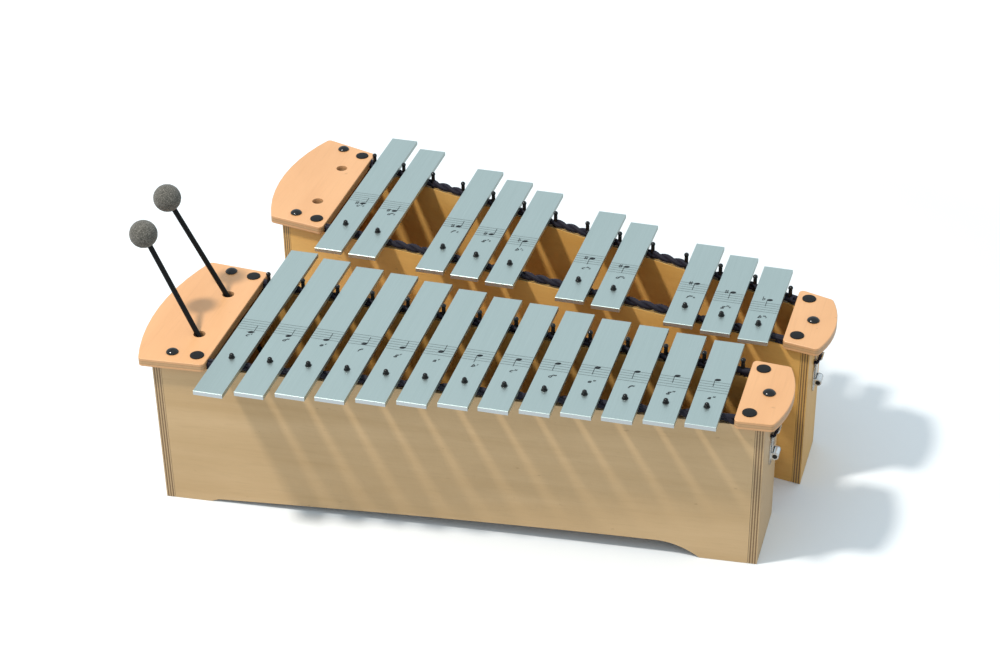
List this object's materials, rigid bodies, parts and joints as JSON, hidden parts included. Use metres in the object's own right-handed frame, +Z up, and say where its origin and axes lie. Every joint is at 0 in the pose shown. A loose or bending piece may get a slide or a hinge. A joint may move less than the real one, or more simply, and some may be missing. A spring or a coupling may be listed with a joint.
{
  "type": "alto metallophone",
  "caption": "Tuned metal bars on cords over tapered plywood resonator boxes, the raised notes on a separate box behind, with felt mallets standing in the front box.",
  "frame": {"origin": "on the floor, under the middle of the left end panel of the front box, on the line of the bars' middles", "axes": "+X from the low notes to the high notes, +Y from the front box to the rear box, +Z up"},
  "size_m": [0.6888, 0.5513, 0.2964],
  "materials": {
    "birch_plywood": "clear satin lacquer",
    "bottom_plywood": "unfinished",
    "lacquered_board": "warm clear lacquer",
    "bar_metal": "satin anodised",
    "black_cord": "twisted",
    "black_plastic": "glossy",
    "plated_steel": "bright plated",
    "grey_felt": "felt wound over a core"
  },
  "bodies": {
    "diatonic_box": {"diatonic_front_panel": "birch_plywood", "diatonic_rear_panel": "birch_plywood", "diatonic_left_end": "birch_plywood", "diatonic_right_end": "birch_plywood", "diatonic_bottom_board": "bottom_plywood", "diatonic_left_top_board": "lacquered_board", "diatonic_right_top_board": "lacquered_board", "diatonic_cord": "black_cord", "diatonic_tensioner_plate": "plated_steel", "diatonic_tensioner_pin": "black_plastic", "diatonic_screw_cap_1": "black_plastic", "diatonic_screw_cap_2": "black_plastic", "diatonic_screw_cap_3": "black_plastic"},
    "diatonic_tension_lever": {"diatonic_tensioner_lever": "plated_steel", "diatonic_cord_loop": "black_cord"},
    "chromatic_box": {"chromatic_front_panel": "birch_plywood", "chromatic_rear_panel": "birch_plywood", "chromatic_left_end": "birch_plywood", "chromatic_right_end": "birch_plywood", "chromatic_bottom_board": "bottom_plywood", "chromatic_left_top_board": "lacquered_board", "chromatic_right_top_board": "lacquered_board", "chromatic_cord": "black_cord", "chromatic_tensioner_plate": "plated_steel", "chromatic_tensioner_pin": "black_plastic", "chromatic_screw_cap_1": "black_plastic", "chromatic_screw_cap_2": "black_plastic", "chromatic_screw_cap_3": "black_plastic"},
    "chromatic_tension_lever": {"chromatic_tensioner_lever": "plated_steel", "chromatic_cord_loop": "black_cord"},
    "bar_c4": {"bar_c4": "bar_metal"},
    "bar_d4": {"bar_d4": "bar_metal"},
    "bar_e4": {"bar_e4": "bar_metal"},
    "bar_f4": {"bar_f4": "bar_metal"},
    "bar_g4": {"bar_g4": "bar_metal"},
    "bar_a4": {"bar_a4": "bar_metal"},
    "bar_b4": {"bar_b4": "bar_metal"},
    "bar_c5": {"bar_c5": "bar_metal"},
    "bar_d5": {"bar_d5": "bar_metal"},
    "bar_e5": {"bar_e5": "bar_metal"},
    "bar_f5": {"bar_f5": "bar_metal"},
    "bar_g5": {"bar_g5": "bar_metal"},
    "bar_a5": {"bar_a5": "bar_metal"},
    "bar_c_sharp4": {"bar_c_sharp4": "bar_metal"},
    "bar_d_sharp4": {"bar_d_sharp4": "bar_metal"},
    "bar_f_sharp4": {"bar_f_sharp4": "bar_metal"},
    "bar_g_sharp4": {"bar_g_sharp4": "bar_metal"},
    "bar_b_flat4": {"bar_b_flat4": "bar_metal"},
    "bar_c_sharp5": {"bar_c_sharp5": "bar_metal"},
    "bar_d_sharp5": {"bar_d_sharp5": "bar_metal"},
    "bar_f_sharp5": {"bar_f_sharp5": "bar_metal"},
    "bar_g_sharp5": {"bar_g_sharp5": "bar_metal"},
    "bar_b_flat5": {"bar_b_flat5": "bar_metal"},
    "mallet_1": {"mallet_1_handle": "black_plastic", "mallet_1_head": "grey_felt"},
    "mallet_2": {"mallet_2_handle": "black_plastic", "mallet_2_head": "grey_felt"}
  },
  "joints": [
    {"name": "chromatic_box_slide", "type": "slide", "parent": "diatonic_box", "child": "chromatic_box", "axis": [0, 1, 0], "range_m": [0, 0.15]},
    {"name": "bar_c4_lift", "type": "slide", "parent": "diatonic_box", "child": "bar_c4", "axis": [0, 0, 1], "range_m": [0, 0.04]},
    {"name": "bar_d4_lift", "type": "slide", "parent": "diatonic_box", "child": "bar_d4", "axis": [0, 0, 1], "range_m": [0, 0.04]},
    {"name": "bar_e4_lift", "type": "slide", "parent": "diatonic_box", "child": "bar_e4", "axis": [0, 0, 1], "range_m": [0, 0.04]},
    {"name": "bar_f4_lift", "type": "slide", "parent": "diatonic_box", "child": "bar_f4", "axis": [0, 0, 1], "range_m": [0, 0.04]},
    {"name": "bar_g4_lift", "type": "slide", "parent": "diatonic_box", "child": "bar_g4", "axis": [0, 0, 1], "range_m": [0, 0.04]},
    {"name": "bar_a4_lift", "type": "slide", "parent": "diatonic_box", "child": "bar_a4", "axis": [0, 0, 1], "range_m": [0, 0.04]},
    {"name": "bar_b4_lift", "type": "slide", "parent": "diatonic_box", "child": "bar_b4", "axis": [0, 0, 1], "range_m": [0, 0.04]},
    {"name": "bar_c5_lift", "type": "slide", "parent": "diatonic_box", "child": "bar_c5", "axis": [0, 0, 1], "range_m": [0, 0.04]},
    {"name": "bar_d5_lift", "type": "slide", "parent": "diatonic_box", "child": "bar_d5", "axis": [0, 0, 1], "range_m": [0, 0.04]},
    {"name": "bar_e5_lift", "type": "slide", "parent": "diatonic_box", "child": "bar_e5", "axis": [0, 0, 1], "range_m": [0, 0.04]},
    {"name": "bar_f5_lift", "type": "slide", "parent": "diatonic_box", "child": "bar_f5", "axis": [0, 0, 1], "range_m": [0, 0.04]},
    {"name": "bar_g5_lift", "type": "slide", "parent": "diatonic_box", "child": "bar_g5", "axis": [0, 0, 1], "range_m": [0, 0.04]},
    {"name": "bar_a5_lift", "type": "slide", "parent": "diatonic_box", "child": "bar_a5", "axis": [0, 0, 1], "range_m": [0, 0.04]},
    {"name": "bar_c_sharp4_lift", "type": "slide", "parent": "chromatic_box", "child": "bar_c_sharp4", "axis": [0, 0, 1], "range_m": [0, 0.04]},
    {"name": "bar_d_sharp4_lift", "type": "slide", "parent": "chromatic_box", "child": "bar_d_sharp4", "axis": [0, 0, 1], "range_m": [0, 0.04]},
    {"name": "bar_f_sharp4_lift", "type": "slide", "parent": "chromatic_box", "child": "bar_f_sharp4", "axis": [0, 0, 1], "range_m": [0, 0.04]},
    {"name": "bar_g_sharp4_lift", "type": "slide", "parent": "chromatic_box", "child": "bar_g_sharp4", "axis": [0, 0, 1], "range_m": [0, 0.04]},
    {"name": "bar_b_flat4_lift", "type": "slide", "parent": "chromatic_box", "child": "bar_b_flat4", "axis": [0, 0, 1], "range_m": [0, 0.04]},
    {"name": "bar_c_sharp5_lift", "type": "slide", "parent": "chromatic_box", "child": "bar_c_sharp5", "axis": [0, 0, 1], "range_m": [0, 0.04]},
    {"name": "bar_d_sharp5_lift", "type": "slide", "parent": "chromatic_box", "child": "bar_d_sharp5", "axis": [0, 0, 1], "range_m": [0, 0.04]},
    {"name": "bar_f_sharp5_lift", "type": "slide", "parent": "chromatic_box", "child": "bar_f_sharp5", "axis": [0, 0, 1], "range_m": [0, 0.04]},
    {"name": "bar_g_sharp5_lift", "type": "slide", "parent": "chromatic_box", "child": "bar_g_sharp5", "axis": [0, 0, 1], "range_m": [0, 0.04]},
    {"name": "bar_b_flat5_lift", "type": "slide", "parent": "chromatic_box", "child": "bar_b_flat5", "axis": [0, 0, 1], "range_m": [0, 0.04]},
    {"name": "mallet_1_pull", "type": "slide", "parent": "diatonic_box", "child": "mallet_1", "axis": [-0.4886, 0.1531, 0.859], "range_m": [0, 0.17]},
    {"name": "mallet_2_pull", "type": "slide", "parent": "diatonic_box", "child": "mallet_2", "axis": [-0.431, -0.0476, 0.9011], "range_m": [0, 0.165]},
    {"name": "diatonic_lever_hinge", "type": "hinge", "parent": "diatonic_box", "child": "diatonic_tension_lever", "pos_m": [0.60945, 0.00515, 0.1017], "axis": [0, 1, 0], "range_deg": [0, 75]},
    {"name": "chromatic_lever_hinge", "type": "hinge", "parent": "chromatic_box", "child": "chromatic_tension_lever", "pos_m": [0.63021, 0.14512, 0.1017], "axis": [0.0127, 0.9999, 0], "range_deg": [0, 75]}
  ]
}
